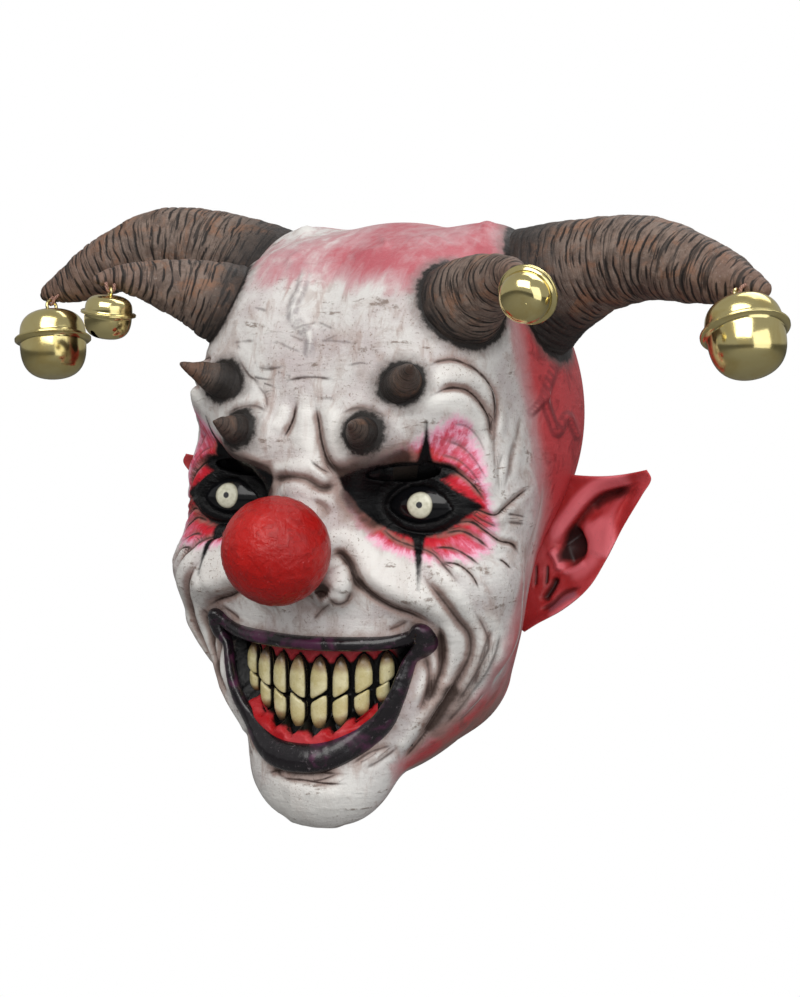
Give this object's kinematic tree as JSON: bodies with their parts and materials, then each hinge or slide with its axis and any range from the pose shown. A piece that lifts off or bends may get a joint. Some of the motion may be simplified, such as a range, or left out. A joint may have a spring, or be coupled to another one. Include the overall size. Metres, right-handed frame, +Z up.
{
  "type": "clown mask",
  "caption": "Overhead latex jester clown mask: hollow head with ball nose, toothed grin, pointed ears, ringed horns and brow spikes, brass jingle bells tied to the horn tips.",
  "frame": {"origin": "inside of the crown, on the mid-plane, where the mask sits on the top of a head", "axes": "+X to the mask's own left, the face looks along -Y, +Z up"},
  "size_m": [0.4108, 0.251, 0.2949],
  "materials": {
    "skin": "satin painted latex, bone white with brown wash in the creases and red make-up",
    "ear_skin": "satin painted latex, deep red",
    "nose": "semi-gloss red, finely dimpled",
    "lips": "glossy purple black",
    "gums": "glossy red",
    "teeth": "glossy yellow ivory with brown roots",
    "eyes": "glossy black with a cream iris",
    "horn": "matt brown with dark ring grooves",
    "brass": "polished",
    "tie_cord": "twisted cord",
    "pellet_steel": "plain"
  },
  "bodies": {
    "root": {"face_shell": "skin", "nose_ball": "nose", "lips": "lips", "gums": "gums", "ear_left": "ear_skin", "eye_left": "eyes", "spike_upper_left": "horn", "spike_lower_left": "horn", "tooth_upper_left_1": "teeth", "tooth_upper_left_2": "teeth", "tooth_upper_left_3": "teeth", "tooth_upper_left_4": "teeth", "tooth_lower_left_1": "teeth", "tooth_lower_left_2": "teeth", "tooth_lower_left_3": "teeth", "tooth_lower_left_4": "teeth", "horn_rear_left": "horn", "bell_rear_left": "brass", "tie_rear_left": "tie_cord", "pellet_rear_left": "pellet_steel", "horn_front_left": "horn", "bell_front_left": "brass", "tie_front_left": "tie_cord", "pellet_front_left": "pellet_steel", "ear_right": "ear_skin", "eye_right": "eyes", "spike_upper_right": "horn", "spike_lower_right": "horn", "tooth_upper_right_1": "teeth", "tooth_upper_right_2": "teeth", "tooth_upper_right_3": "teeth", "tooth_upper_right_4": "teeth", "tooth_lower_right_1": "teeth", "tooth_lower_right_2": "teeth", "tooth_lower_right_3": "teeth", "tooth_lower_right_4": "teeth", "horn_rear_right": "horn", "bell_rear_right": "brass", "tie_rear_right": "tie_cord", "pellet_rear_right": "pellet_steel", "horn_front_right": "horn", "bell_front_right": "brass", "tie_front_right": "tie_cord", "pellet_front_right": "pellet_steel"}
  },
  "joints": []
}
